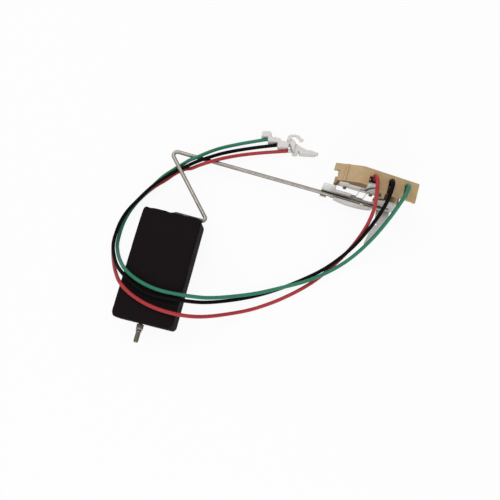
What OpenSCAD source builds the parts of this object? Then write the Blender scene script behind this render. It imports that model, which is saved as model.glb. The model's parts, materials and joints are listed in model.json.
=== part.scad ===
// Fuel level sender: a moulded tray with a resistor card, a rotor with a bent wire arm, a foam float,
// and three leads that end in a connector. Millimetres. The origin is on the table, under the pivot axis.
// X runs along the arm towards the housing end, Y away from the viewer, Z up. The pivot axis is along Y.

/* [Housing] */
// Length of the housing from the pivot to its left end
case_left = 35; // [34:0.5:44]
// Length of the housing from the pivot to its right end
case_right = 12; // [10:0.5:16]
// Height of the left end
end_left_h = 24; // [22:0.5:28]
// Height of the ridge in the top wall
ridge_h = 29; // [28.5:0.5:34]
// Height of the right end
end_right_h = 25.5; // [24:0.5:30]
// Ridge to pivot distance
ridge_x = 22; // [18:0.5:26]
// Half depth of the housing, from the pivot plane to its back face
case_half = 6; // [5.5:0.25:8]
// Wall thickness of the tray
wall = 1.8; // [1.2:0.1:2.4]

/* [Pivot] */
// Height of the pivot axis above the table
pivot_h = 8; // [7:0.5:9]
// Diameter of the rotor sleeve that turns in the boss
sleeve_d = 5; // [4.4:0.1:5.6]
// Radial running gap of the sleeve
sleeve_gap = 0.06; // [0.03:0.01:0.1]
// Outer diameter of the pivot boss
boss_d = 10; // [8.5:0.5:11]
// Radial gap round the wire in the end wall of the boss
pin_gap = 0.25; // [0.15:0.05:0.4]

/* [Arm] */
// Wire diameter of the float arm
wire_d = 2.5; // [2:0.1:2.8]
// Distance along the housing from the pivot to the far bend of the arm
arm_reach = 138.3; // [125:0.1:145]
// Bend radius of the wire
wire_bend = 2.4; // [2:0.1:3]
// Length of the straight stretch that lies in the rotor
rotor_bar = 43; // [40:1:50]

/* [Float] */
// Float width across the axle
float_w = 35.5; // [30:0.5:40]
// Float length along the axle
float_l = 67; // [56:1:80]
// Float thickness
float_h = 19; // [16:0.5:19]
// Corner radius of the foam
float_r = 3; // [1:0.5:4]
// Radial running gap of the float on its axle
float_gap = 0.1; // [0.05:0.01:0.1]
// Turn of the axle about the vertical, in degrees
axle_turn = 3.2; // [0:0.1:5]
// Distance of the axle from the middle of the float
axle_offset = 1.3; // [0:0.1:3]

/* [Card and wiper] */
// Thickness of the resistor card
card_t = 1; // [0.6:0.1:1.2]
// Contact radius of the outer wiper finger
outer_track = 18; // [17:0.25:18.5]
// Contact radius of the inner wiper finger
inner_track = 13.3; // [12.5:0.1:14]
// Travel of the arm in degrees
travel = 48; // [36:1:50]
// Number of contact bars on the card
bar_count = 32; // [16:1:40]

/* [Leads and connector] */
// Outer diameter of a lead
lead_d = 2.2; // [1.6:0.1:2.2]
// Distance between the lead outlets
outlet_pitch = 9.6; // [9:0.1:10]
// Height of the connector body
plug_h = 6.5; // [6:0.5:8]

/* [Hidden] */
$fn = 48;
eps = 0.01;

// Colours as the photograph shows them
tan_nylon = [0.72, 0.61, 0.47];
white_nylon = [0.86, 0.85, 0.82];
steel = [0.62, 0.61, 0.59];
foam_black = [0.08, 0.07, 0.08];
ceramic = [0.93, 0.92, 0.88];
silver_ink = [0.72, 0.72, 0.7];
resistor_ink = [0.1, 0.1, 0.1];
tinned = [0.75, 0.74, 0.7];
spring_metal = [0.78, 0.72, 0.6];

// Lengths across the depth of the sender, all measured along Y
front_gap = 0.2;
back_wall = 1.8;
boss_front = -case_half + 0.4;
boss_end_wall = 2;
rotor_plate_t = 1.46;
rotor_back = -case_half - front_gap;
rotor_front = rotor_back - rotor_plate_t;
bar_y = rotor_front - wire_d / 2 - 0.04;
lip_y = bar_y - wire_d / 2 - 0.05;
card_face = -1.2;
card_back = card_face + card_t;
print_t = 0.1;
print_face = card_face - print_t;
contact_face = print_face - 0.05;
case_floor_y = case_half - back_wall;
boss_end_y = case_floor_y + 0.2;
sleeve_end_y = boss_end_y - boss_end_wall;
nut_t = 0.4;
nut_y = boss_end_y + 0.1;

// The left part of the tray has a shallower front edge. In front of open_y the tray has no floor, and its end
// walls hang only end_lip below the top wall.
step_x = -15;
left_front = -case_half + 1.2;
open_y = 1.5;
end_lip = 2.2;
foot_left = -7;
foot_right = 7.2;
foot_front = -3.5;

// Outlets of the leads, from left to right
outlet_red_x = -14;
outlet_x = [for (i = [0:2]) outlet_red_x + i * outlet_pitch];
outlet_y = 2;
outlet_w = lead_d + 0.4;
outlet_end = [-case_half - 1, -case_half - 1, -5];
gap_left = -17.3;
gap_right = -12.7;
barrel_d = lead_d + 1;
barrel_top = 23;
barrel_l = 6;

// Points of the wire: pin end, corner at the rotor, joggle, far bend, float bend, axle bend, axle end
axle_mid = [-121.9, -83.9];
axle_z = float_h / 2;
wire_pin_end = case_half - 0.3;
retainer_gap = 0.35;
retainer_l = 4.6;
axle_tip = 6;

// Point on the axle at distance s from the float's middle, towards the viewer
function on_axle(s) = [axle_mid.x + s * sin(axle_turn), axle_mid.y - s * cos(axle_turn), axle_z];
far_bend = [-arm_reach, -9.6, 5.6];
axle_bend = on_axle(-float_l / 2 - wire_d / 2 - 0.5);
float_bend = [-100.5, axle_bend.y + 0.9, axle_z];
joggle = [-rotor_bar, bar_y, pivot_h];
wire_points = [[0, wire_pin_end, pivot_h], [0, bar_y, pivot_h], joggle, far_bend, float_bend,
    axle_bend, on_axle(float_l / 2 + retainer_gap + retainer_l + axle_tip)];
wire_radii = [0, 2.6, 20, wire_bend, wire_bend, 2.5, 0];

// Routes of the leads: from the crimp barrels down to the table, over the float, under and over the arm
lead_red_route = [[-14, 2, 23], [-14, 2, 29], [-13.5, -1.5, 33], [-12.5, -7, 33.6], [-11, -12.5, 30],
    [-9.8, -18, 23], [-10.5, -26, 13], [-14, -36, 4.5], [-19.5, -46.5, 1.2], [-31, -63.5, 1.2],
    [-46, -78.5, 1.2], [-60, -89, 1.2], [-72, -96, 4.5], [-88, -104, 16], [-100.1, -106.7, 20.6],
    [-115.9, -106.6, 20.6], [-129, -103.3, 20.6], [-136.4, -99.3, 20.2], [-143.3, -93.5, 13.5],
    [-148.8, -87.2, 6.6], [-152.9, -80.6, 2.2], [-155, -74.9, 1.2], [-155.5, -67.7, 1.2],
    [-154.9, -60.9, 1.2], [-152.9, -53.6, 1.2], [-149.5, -45.7, 1.2], [-146.3, -39.3, 1.2],
    [-142.2, -33, 1.2], [-137.3, -27.2, 1.2], [-132.8, -21.2, 1.2], [-127.7, -16.6, 1.2],
    [-124.3, -15.7, 2.4], [-120.1, -14, 5.6], [-116, -12.5, 8.8], [-111.6, -9.6, 9.2],
    [-106.5, -5.5, 7.6], [-96.9, 1.4, 4], [-84.1, 7.5, 3], [-68.5, 13.4, 3.3]];
lead_black_route = [[-4.4, 2, 23], [-4.4, 2, 29], [-4.4, -1.5, 33.2], [-4.6, -7.5, 34],
    [-5.1, -13, 31.5], [-6.2, -19, 24], [-8.6, -26, 16.5], [-13, -35.5, 9.8], [-19.5, -45.5, 5.4],
    [-28, -55.5, 3], [-43, -68.5, 1.2], [-56, -78, 1.2], [-69, -85.7, 2.8], [-87, -95, 14.8],
    [-97.5, -98.1, 20.6], [-118, -100.6, 20.6], [-129.9, -97.5, 20.6], [-137, -93.7, 20.3],
    [-144.3, -89, 14], [-149, -84, 9.3], [-152.2, -79.6, 5.6], [-154.1, -74.8, 3.8],
    [-154.5, -67.7, 4.2], [-153.8, -61.1, 5.1], [-151.7, -54, 6], [-148.1, -46.3, 6.4],
    [-145, -40, 6.5], [-141.4, -33.5, 6.4], [-137.3, -27.2, 5.2], [-132.9, -21.1, 4],
    [-127.9, -16.4, 3.8], [-124.7, -14.2, 5.4], [-121.2, -12.7, 8.4], [-118.2, -10.6, 9],
    [-113.9, -7, 8.3], [-107.8, -1.6, 6], [-99.2, 4.4, 3.6], [-88.2, 10.1, 3], [-76.4, 15.2, 3.3]];
lead_green_route = [[5.2, 2, 23], [5.2, 2, 29], [4.8, -1.5, 33], [3.6, -6.5, 33.8], [2.1, -12, 31],
    [0, -19, 22.8], [-3.7, -28, 14], [-9, -37.5, 8.2], [-15.5, -46.5, 5], [-24, -55.5, 4.8],
    [-35, -64.5, 4.6], [-48, -72.5, 4], [-61, -80, 4.5], [-73, -86, 7.8], [-84, -91.3, 14.8],
    [-91.7, -94.1, 20.6], [-113.4, -96.7, 20.6], [-126, -95.2, 20.6], [-133.5, -92.6, 20.8],
    [-137.1, -90.6, 20.2], [-141.7, -87.4, 15], [-146.1, -83.5, 9.8], [-149.7, -79.3, 4.9],
    [-152.4, -74.7, 1.2], [-153, -67.7, 1.9], [-152.8, -61.3, 2.6], [-151.4, -54.1, 3.4],
    [-148.6, -46.1, 3.8], [-145.5, -39.7, 3.9], [-142.4, -32.9, 3.8], [-139.2, -25.9, 2.6],
    [-134.9, -19.3, 1.3], [-129.6, -13.7, 2.3], [-127.3, -12.6, 5], [-125.4, -12.3, 7.7],
    [-123.4, -11.2, 8.8], [-121.1, -9.2, 8.6], [-117.3, -5, 7.4], [-110.4, 1.9, 4.6], [-100.5, 8.6, 3],
    [-91.8, 13.2, 3], [-83.3, 17.3, 3.3]];
lead_sides = 8;

// Joints of the bent wire: how far a straight stretch runs into a bend, and how much thicker a bend is
bend_overlap = 0.05;
bend_swell = 0.02;

// Outline of the tray seen from the front
case_outline = [[-case_left, 0], [case_right, 0], [case_right, end_right_h], [-ridge_x, ridge_h],
    [-case_left, end_left_h]];

// Height of the top wall's outer face at x
function roof_z(x) = x < -ridge_x
    ? ridge_h - (ridge_h - end_left_h) * (-ridge_x - x) / (case_left - ridge_x)
    : ridge_h - (ridge_h - end_right_h) * (x + ridge_x) / (case_right + ridge_x);

// Edges of the resistor card, which is lower under the gap for the left lead, and depth of its hooks
card_left = -case_left + 3;
card_right = -boss_d / 2 - 1.5;
card_bottom = pivot_h - 1;
card_top = roof_z(card_right) - wall - 0.6;
card_low_top = card_top - 2;
card_step_x = gap_right + 0.4;
lug_depth = 0.9;

card_outline = [[card_left, card_bottom], [card_right, card_bottom], [card_right, card_top],
    [card_step_x, card_top], [card_step_x, card_low_top], [-case_left + 10, card_low_top],
    [card_left, card_low_top - 5]];

// Skirt of the left part: heights are from the outer face of the top wall
skirt_outline = [[-case_left + 2, -0.5], [-case_left + 2, -1.9], [-28.5, -2.6], [-26, -5], [gap_left, -5.6],
    [gap_left, -0.5], [-ridge_x, -0.6]];

// Blind locating holes
locator_d = 3;
locator_z = 20;

// Mounting clip: a tongue rooted in the foot of the tray
clip_left = -5.7;
clip_root_w = 12;
clip_root_y = -1.5;
clip_t = 1.5;
clip_bottom = 0.3;
clip_outline = [[clip_left, clip_root_y], [clip_left + 1.6, -14], [-7.2, -31.2], [-5.2, -31.6], [3.4, -11.6],
    [3.2, -case_half], [clip_left + clip_root_w, -case_half + 0.6], [clip_left + clip_root_w, clip_root_y]];

// Heights of the rotor's edges, measured from the line of the arm
beam_h = 0.3;
shoulder_h = 4.5;
floor_t = 1.2;
rotor_low = -wire_d / 2 - 0.05 - floor_t;

// Wiper: a leaf let into the back of the rotor, with two fingers that turn down to the card
leaf_t = 0.3;
leaf_in = 24;
leaf_out = 33;
leaf_outline = [[-leaf_out, beam_h + 0.2], [-leaf_in, beam_h + 0.2], [-leaf_in, shoulder_h - 0.4],
    [-leaf_out, shoulder_h - 0.4]];
leaf_y = rotor_back - leaf_t;
pocket_gap = 0.1;
finger_w = 1.1;
rivet_d = 1.2;
rivet_h = 2.4;
rivet_x = [-leaf_out + 2, -leaf_in - 2];
button_d = 1.4;
button_h = 0.5;
toe_back = contact_face - button_h;
toe_half = 0.9;
leg_run = 1.6;

// Rotor outline seen from the front, from the hub to the raised tip; heights are above the pivot
hub_r = 5.5;
tip_in = 34;
tip_out = 41.5;
tip_h = 10.7;
channel_in = 9;
channel_out = 33;
rotor_outline = [[0, -3.6], [-4, -3.4], [-channel_in, rotor_low], [-tip_out, rotor_low], [-tip_out, tip_h],
    [-tip_in, tip_h], [-tip_in, shoulder_h], [-leaf_in + 0.6, shoulder_h], [-leaf_in + 0.6, beam_h],
    [-10.5, beam_h], [-8.6, 6.6], [-4, 9.2], [3, 8.8], [hub_r - 0.3, 1]];
lip_h = 1.9;
lip_bulge = 1.3;
lip_t = 0.6;

// The stop ends just below the rotor's lower edge at rest
stop_gap = 0.25;
stop_top = pivot_h + rotor_low - stop_gap;
stop_x = 6.5 - tip_out;

// Angles of the two fingers above the line of the arm
outer_finger_h = 3;
inner_finger_h = 1.2;
outer_finger_a = asin(outer_finger_h / outer_track);
inner_finger_a = asin(inner_finger_h / inner_track);
bar_in = outer_track - 1;
bar_out = outer_track + 1.2;
track_in = bar_in - 2;
bar_pitch = (travel + 2) / (bar_count - 1);

// Half angle that a contact button covers on its track
button_a = 2.5;

// Printed return arc, pads for the terminals and the traces between them
pad_w = 2.4;
trace_w = 0.8;

// Crimp terminals: a barrel under each outlet and a strip on the back of the card
strip_t = 0.8;
strip_w = 2.2;
strip_z = [for (h = [7, 4.6, 1.4]) pivot_h + boss_d / 2 + h];

// Web that joins the pivot boss to the top wall, left of the boss and clear of the two wiper fingers;
// the heights of all but its two top points are above the pivot
web_outline = [[-2.5, 1], [-9.2, -0.5], [-10.2, 3], [-9.9, 6.4], [-8.3, 8.4], [-6.2, 10], [-7.2, 12.6],
    [-8.3, 15.9], [-9.8, roof_z(-9.8) - pivot_h - 0.5], [-6.2, roof_z(-6.2) - pivot_h - 0.8], [-5.3, 12],
    [-3.8, 4.2]];

// Connector: three entries in steps on the left, a nose with two notches on the right
plug_outline = [[-83.3, 18.3], [-82.3, 14.8], [-76.4, 16.3], [-75.2, 12.6], [-68.7, 14.7], [-69.1, 16.9],
    [-68.9, 17.9], [-67.7, 16.8], [-66.2, 14.3], [-64.9, 11.9], [-62.1, 12.9], [-61.9, 15.4], [-60.7, 13.3],
    [-51.6, 15.4], [-49.2, 17.2], [-52.1, 17.4], [-54.5, 17.6], [-57, 17.1], [-59.4, 17.6], [-62.2, 18.2],
    [-65.2, 19.4], [-67.7, 21.1], [-69.8, 20.8], [-70.4, 19.3], [-71.7, 17.9], [-74.4, 18], [-75.8, 19.4],
    [-78.5, 18.5], [-80.9, 18.9]];
latch_outline = [[-71.2, 18.4], [-71, 21.7], [-69.2, 23], [-67, 23.6], [-64.1, 23.7], [-63.1, 22.5],
    [-60.8, 21.9], [-60.9, 20.5], [-62.3, 19.7], [-63.6, 20.6], [-64.4, 21.4], [-66, 22.2], [-68, 22.1],
    [-68.9, 21], [-69.2, 18.6]];
lock_outline = [[-87.4, 17.2], [-83.3, 18.3], [-80.9, 18.9], [-81.6, 21.1], [-82.9, 22.2], [-86.6, 21.2],
    [-88, 20.2]];
nose_x = -65;
nose_drop = 1.6;
entry_run = 9;
blade_hole_d = 1.7;
contact_l = 6;
crimp_l = 2.4;
entry_d = lead_d + 0.8;
lead_ends = [for (r = [lead_red_route, lead_black_route, lead_green_route]) [r[len(r) - 2], r[len(r) - 1]]];

// Unit vector along v
function unit(v) = v / norm(v);

// Arc points that round the corner b between a and c with radius r, in 2D
function corner_arc(a, b, c, r, steps = 4) =
    let (u = unit(a - b), v = unit(c - b), half = acos(u * v) / 2,
        centre = b + unit(u + v) * r / sin(half),
        first = b + u * r / tan(half) - centre,
        last = b + v * r / tan(half) - centre,
        from = atan2(first.y, first.x),
        turn = (atan2(last.y, last.x) - from + 540) % 360 - 180)
    [for (k = [0:steps]) centre + r * [cos(from + turn * k / steps), sin(from + turn * k / steps)]];

// Outline through the points with each corner rounded; a radius of 0 keeps the corner
function rounded(points, r) = let (n = len(points)) [for (i = [0:n - 1])
    let (ri = is_list(r) ? r[i] : r)
    each ri == 0 ? [points[i]] : corner_arc(points[(i + n - 1) % n], points[i], points[(i + 1) % n], ri)];

// Convex outline moved inwards by d, for an outline that runs counterclockwise
function inset(points, d) = let (n = len(points)) [for (i = [0:n - 1])
    let (a = points[(i + n - 1) % n], b = points[i], c = points[(i + 1) % n],
        m = unit(b - a), o = unit(c - b), left_m = [-m.y, m.x], left_o = [-o.y, o.x])
    b + (left_m + left_o) * d / (1 + left_m * left_o)];

// Extrudes a shape drawn in X and Z from y0 to y1
module slab(y0, y1) {
    translate([0, y1, 0]) rotate([90, 0, 0]) linear_extrude(y1 - y0) children();
}

// Round bar or bore along Y
module round_y(d, y0, y1, x = 0, z = pivot_h) {
    translate([x, y1, z]) rotate([90, 0, 0]) cylinder(d = d, h = y1 - y0);
}

// Turns its children from +Z to the direction from p to q, at q
module facing(p, q) {
    d = q - p;
    translate(q) rotate([0, acos(d.z / norm(d)), atan2(d.y, d.x)]) children();
}

// Wire of diameter d along the points, bent with the radius of each point but the two ends.
// Bends are thicker than the straight stretches by a hair, and each stretch runs a little way into them.
module bent_wire(points, radii, d) {
    last = len(points) - 1;
    function dir(i) = unit(points[i + 1] - points[i]);
    function half_turn(i) = acos(dir(i - 1) * dir(i)) / 2;
    function bent(i) = i > 0 && i < last;
    function cut(i) = bent(i) ? radii[i] * tan(half_turn(i)) : 0;
    function stop(i) = bent(i) ? cut(i) - bend_overlap : 0;
    for (i = [0:last - 1]) {
        from = points[i] + dir(i) * stop(i);
        to = points[i + 1] - dir(i) * stop(i + 1);
        facing(from - dir(i), from) cylinder(d = d, h = norm(to - from));
    }
    for (i = [1:last - 1]) {
        ey = dir(i - 1);
        centre = points[i] + unit(dir(i) - ey) * radii[i] / cos(half_turn(i));
        ex = unit(points[i] - ey * cut(i) - centre);
        ez = cross(ex, ey);
        multmatrix([[ex.x, ey.x, ez.x, centre.x], [ex.y, ey.y, ez.y, centre.y],
            [ex.z, ey.z, ez.z, centre.z], [0, 0, 0, 1]])
            rotate_extrude(angle = 2 * half_turn(i)) translate([radii[i], 0]) circle(d = d + bend_swell);
    }
}

// Ring sector between two radii, in X and Z about the pivot; angles rise from the line of the arm
module sector(r0, r1, a0, a1) {
    translate([0, pivot_h]) intersection() {
        difference() {
            circle(r = r1);
            circle(r = r0);
        }
        reach = 2 * r1;
        polygon([[0, 0], [-reach * cos(a0), reach * sin(a0)],
            [-reach * cos((a0 + a1) / 2), reach * sin((a0 + a1) / 2)], [-reach * cos(a1), reach * sin(a1)]]);
    }
}

// Tube along a route: a ring at each point, carried along without twist
module lead_tube(route) {
    n = len(route);
    function seg(i) = unit(route[i + 1] - route[i]);
    tangents = [for (i = [0:n - 1]) i == 0 ? seg(0) : i == n - 1 ? seg(n - 2) : unit(seg(i - 1) + seg(i))];
    function side(v, t) = unit(v - (v * t) * t);
    sides = [for (i = 0, s = side([1, 0, 0], tangents[0]); i < n;
        i = i + 1, s = i < n ? side(s, tangents[i]) : s) s];
    ring_r = lead_d / 2 / cos(90 / lead_sides);
    vertices = [for (i = [0:n - 1]) let (up = cross(tangents[i], sides[i])) for (k = [0:lead_sides - 1])
        let (a = 360 * k / lead_sides) route[i] + ring_r * (cos(a) * sides[i] + sin(a) * up)];
    walls = [for (i = [0:n - 2]) for (k = [0:lead_sides - 1])
        let (a = i * lead_sides + k, b = i * lead_sides + (k + 1) % lead_sides)
        each [[a, a + lead_sides, b], [b, a + lead_sides, b + lead_sides]]];
    start_cap = [for (k = [0:lead_sides - 1]) k];
    end_cap = [for (k = [lead_sides - 1:-1:0]) (n - 1) * lead_sides + k];
    polyhedron(vertices, concat(walls, [start_cap, end_cap]), convexity = 10);
}

// Slot in the top wall where a lead comes out
module outlet(x, y_end) {
    top = ridge_h + 2;
    bottom = end_left_h - 1.5;
    translate([x, outlet_y, bottom]) cylinder(d = outlet_w, h = top - bottom);
    translate([x - outlet_w / 2, y_end, bottom]) cube([outlet_w, outlet_y - y_end, top - bottom]);
}

module card_seat(x, z, w, h) {
    translate([x, card_back, z]) cube([w, case_floor_y - card_back + eps, h]);
}

module sensor_housing() {
    color(tan_nylon) difference() {
        union() {
            difference() {
                slab(-case_half, case_half) polygon(rounded(case_outline, [1, 1, 1, 8, 1]));
                slab(-case_half - 1, case_floor_y)
                    polygon(rounded(inset(case_outline, wall), [0.6, 0.6, 0.6, 7, 0.6]));
                // Shallower front edge on the left
                translate([-case_left - 1, -case_half - 1, -1])
                    cube([case_left + 1 + step_x, left_front + case_half + 1, ridge_h + 3]);
                // Open front: no floor and short end walls on both sides of the foot
                translate([-case_left - 1, -case_half - 1, -1])
                    cube([case_left + 1 + foot_left, open_y + case_half + 1, end_left_h - end_lip + 1]);
                translate([foot_right, -case_half - 1, -1]) cube([case_right + 1 - foot_right,
                    case_floor_y + case_half + 1, end_right_h - end_lip + 1]);
                translate([foot_left - 1, -case_half - 1, -1])
                    cube([foot_right - foot_left + 2, foot_front + case_half + 1, wall + 1 + eps]);
            }
            // Pivot boss on the back wall, and the web from it to the top wall
            round_y(boss_d, boss_front, case_floor_y + eps);
            slab(boss_front - 0.2, boss_front + 1.2)
                translate([0, pivot_h]) polygon(rounded(web_outline, 0.5));
            // Ledges that carry the card
            card_seat(card_left, card_bottom + 1, 4, 3.5);
            card_seat(card_right - 5, card_bottom + 1, 5, 3.5);
            card_seat(-case_left + wall - eps, 8, 3, 6);
            card_seat(-ridge_x + 1, card_low_top - 3.5, 5, 3.2);
            // Hooks round the lower edge of the card
            for (x = [card_left + 3, card_right - 6]) {
                translate([x, card_face - lug_depth, card_bottom - 1.2])
                    cube([2, lug_depth + case_floor_y - card_face + eps, 1.2]);
                translate([x, card_face - lug_depth, card_bottom - eps]) cube([2, lug_depth - 0.05, 0.8]);
            }
            // End tab at the left, in line with the slope of the top wall
            slab(1.6, case_half) polygon([for (p = [[-3, 0], [-3, -2], [1, -2.2], [3, -1.4], [3, 0]])
                [-case_left + p.x, roof_z(-case_left + p.x) + p.y]]);
            // Skirt under the front edge of the left part, low at its left end
            slab(left_front, left_front + 1.2) polygon([for (p = skirt_outline) [p.x, roof_z(p.x) + p.y]]);
            // Raised band across the left facet of the top wall
            slab(left_front, case_half) polygon([for (p = [[0, -1], [1.4, -1], [1.4, 0.45], [0, 0.45]])
                [-case_left + 3.4 + p.x, roof_z(-case_left + 3.4 + p.x) + p.y]]);
            // Stop under the tip of the rotor, on a finger from the floor
            translate([stop_x, rotor_front, 0]) cube([2.2, open_y - rotor_front + 1, wall]);
            translate([stop_x, rotor_front, 0]) cube([2.2, 3, stop_top]);
        }
        // Running bore of the sleeve, hole for the pin and recess for the push nut
        round_y(sleeve_d + 2 * sleeve_gap, boss_front - 1, sleeve_end_y);
        round_y(wire_d + 2 * pin_gap, sleeve_end_y - 1, case_half + 1);
        round_y(boss_d - 1, boss_end_y, case_half + 1);
        for (i = [0:2]) outlet(outlet_x[i], outlet_end[i]);
        // The slot of the left outlet is a wide gap between the two parts of the top wall
        translate([gap_left, -case_half - 1, end_left_h - end_lip + 2])
            cube([gap_right - gap_left, case_half + 2.6, ridge_h]);
        // Notch in the foot for the mounting clip
        translate([clip_left - 0.1, -case_half - 1, -1])
            cube([clip_root_w + 0.2, case_half + 1 + clip_root_y, wall + 1 + eps]);
        // Blind locating holes in the back face
        for (x = [-case_left + 6, case_right - 4])
            round_y(locator_d, case_half - 1.2, case_half + 1, x, locator_z);
        // Window in the left end, beside the card
        translate([-case_left - 1, -case_half, 3]) cube([4, 2 * case_half + 1, end_left_h - 10]);
        // Latch windows in the back wall
        for (x = [-26, -18])
            translate([x, case_floor_y - 1, 12]) cube([4, back_wall + 2, 5]);
    }
}

module mounting_clip() {
    color(white_nylon) difference() {
        union() {
            translate([0, 0, clip_bottom]) linear_extrude(clip_t)
                polygon(rounded(clip_outline, [0, 3, 0.8, 0.8, 3, 1, 0.5, 0]));
        }
        translate([-3.3, -16.5, -1]) cylinder(d = 2, h = 5);
    }
}

module resistor_card() {
    color(ceramic) slab(card_face, card_back)
        polygon(rounded(card_outline, [0.4, 0.4, 0.4, 0.4, 0.3, 0.6, 0.6]));
}

module resistor_track() {
    color(resistor_ink) slab(print_face, card_face)
        sector(track_in, bar_in, outer_finger_a - button_a, outer_finger_a + travel + button_a);
}

module contact_bars() {
    color(silver_ink) for (i = [0:bar_count - 1])
        translate([0, card_face, pivot_h]) rotate([0, outer_finger_a - 1 + i * bar_pitch, 0])
            translate([-bar_out, -print_t, -0.14]) cube([bar_out - bar_in - 0.03, print_t, 0.28]);
}

module conductor_pads() {
    low_end = outer_finger_a - button_a - 8;
    color(silver_ink) slab(print_face, card_face) {
        sector(inner_track - 0.8, inner_track + 0.8, inner_finger_a - button_a,
            inner_finger_a + travel + button_a);
        sector(track_in, bar_in, low_end, outer_finger_a - button_a - 0.2);
        translate([card_left + 1.2, card_bottom + 1.4]) square([pad_w, pad_w]);
        translate([card_left + 1.2 + pad_w - eps, card_bottom + 1.4])
            square([-card_left - bar_in - 1.2 - pad_w + 0.6, trace_w]);
        translate([card_left + 4, card_bottom + 5]) square([pad_w, pad_w]);
    }
}

module lead_terminals() {
    color(tinned) for (i = [0:2]) {
        x = outlet_x[i];
        end_x = card_right - 3 - i;
        left = min(end_x, x - strip_w / 2);
        difference() {
            translate([x, outlet_y, barrel_top - barrel_l]) cylinder(d = barrel_d, h = barrel_l);
            translate([x, outlet_y, barrel_top - barrel_l - 1]) cylinder(d = barrel_d - 1, h = 3);
        }
        translate([x - strip_w / 2, card_back, strip_z[i]])
            cube([strip_w, strip_t, max(1.4, barrel_top - barrel_l + 4 - strip_z[i])]);
        translate([left, card_back, strip_z[i]]) cube([x + strip_w / 2 - left, strip_t, 1.4]);
    }
}

module rotor() {
    half = (channel_out - channel_in) / 2;
    lens_r = (half * half + lip_bulge * lip_bulge) / (2 * lip_bulge);
    mid_x = -(channel_out + channel_in) / 2;
    color(white_nylon) difference() {
        union() {
            // Plate with hub disc, and sleeve in the boss
            slab(rotor_front, rotor_back) union() {
                translate([0, pivot_h])
                    polygon(rounded(rotor_outline, [0, 0, 1, 1, 2, 1, 1.5, 1, 0.8, 2, 2.5, 2, 2, 0]));
                translate([0, pivot_h]) circle(r = hub_r);
            }
            round_y(sleeve_d, rotor_back - eps, sleeve_end_y - 0.2);
            // Floor of the channel under the wire and its lens-shaped front lip
            translate([-channel_out, lip_y - lip_t, pivot_h + rotor_low])
                cube([channel_out - channel_in, rotor_front - lip_y + lip_t + eps, floor_t]);
            translate([0, 0, pivot_h + rotor_low]) linear_extrude(lip_h - rotor_low) intersection() {
                translate([mid_x, lip_y - lip_t - lip_bulge + lens_r]) circle(r = lens_r, $fn = 160);
                translate([mid_x - half, lip_y - lip_t - lip_bulge - 1])
                    square([2 * half, lip_t + lip_bulge + 1]);
            }
            // Snap tooth over the wire
            translate([-17, lip_y - lip_t, pivot_h + lip_h - eps]) cube([2.4, lip_t + 0.45, 0.9]);
            // Tab that the wire bears on at the tip
            translate([-tip_out, lip_y - lip_t, pivot_h + rotor_low])
                cube([4, rotor_front - lip_y + lip_t + eps, floor_t]);
        }
        // Pocket of the leaf
        slab(leaf_y, rotor_back + 1) translate([-leaf_out - pocket_gap, pivot_h + beam_h + 0.2 - pocket_gap])
            square([leaf_out - leaf_in + 2 * pocket_gap + 1, shoulder_h - beam_h - 0.6 + 2 * pocket_gap]);
        // Relief for the bend of the wire
        translate([-2.9, rotor_front - 1, pivot_h - wire_d / 2 - 0.03])
            cube([2.9, rotor_plate_t + 0.95, wire_d + 0.06]);
        // Bore of the pin
        round_y(wire_d + 0.06, rotor_front - 1, sleeve_end_y + 1);
        // Rivet holes
        for (x = rivet_x)
            round_y(rivet_d + 0.1, rotor_front - 1, rotor_back + 1, x, pivot_h + rivet_h);
    }
}

// Distance from the pivot, along the arm, of a button at radius r and height h over the line of the arm
function reach_of(r, h) = sqrt(r * r - h * h);

// Finger from the leaf to its button: straight along the rotor, then a leg down to a flat toe
module finger(r, h) {
    toe_x = -reach_of(r, h);
    knee_x = toe_x - toe_half - leg_run;
    profile = [[-leaf_in - 0.2, leaf_y], [knee_x, leaf_y], [toe_x - toe_half, toe_back - leaf_t],
        [toe_x + toe_half, toe_back - leaf_t], [toe_x + toe_half, toe_back],
        [toe_x - toe_half - 0.2, toe_back], [knee_x - 0.25, leaf_y + leaf_t],
        [-leaf_in - 0.2, leaf_y + leaf_t]];
    translate([0, 0, pivot_h + h - finger_w / 2]) linear_extrude(finger_w) polygon(profile);
}

module wiper_spring() {
    color(spring_metal) difference() {
        union() {
            slab(leaf_y, leaf_y + leaf_t) translate([0, pivot_h]) polygon(leaf_outline);
            finger(outer_track, outer_finger_h);
            finger(inner_track, inner_finger_h);
        }
        for (x = rivet_x)
            round_y(rivet_d + 0.1, leaf_y - 1, rotor_back + 1, x, pivot_h + rivet_h);
    }
}

module wiper_contacts() {
    color(silver_ink) for (t = [[outer_track, outer_finger_h], [inner_track, inner_finger_h]])
        round_y(button_d, toe_back, contact_face, -reach_of(t[0], t[1]), pivot_h + t[1]);
}

module wiper_rivets() {
    color(tinned) for (x = rivet_x) {
        round_y(rivet_d, rotor_front - 0.3, rotor_back + 0.3, x, pivot_h + rivet_h);
        round_y(2 * rivet_d, rotor_front - 0.5, rotor_front, x, pivot_h + rivet_h);
        round_y(2 * rivet_d, rotor_back, rotor_back + 0.3, x, pivot_h + rivet_h);
    }
}

module float_arm() {
    color(steel) bent_wire(wire_points, wire_radii, wire_d);
}

module pivot_push_nut() {
    color(steel) difference() {
        round_y(boss_d - 2, nut_y, nut_y + nut_t);
        round_y(wire_d + 0.02, nut_y - 1, nut_y + 2);
        // Slots that leave the gripping tongues
        for (a = [0:60:300])
            translate([0, nut_y, pivot_h]) rotate([0, a, 0]) translate([wire_d / 2 - 0.3, -1, -0.2])
                cube([1.6, 3, 0.4]);
    }
}

// Places its children, drawn round an axle along Y through the origin, on the turned axle of the float
module at_axle() {
    translate([axle_mid.x, axle_mid.y, axle_z]) rotate([0, 0, axle_turn]) children();
}

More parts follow.
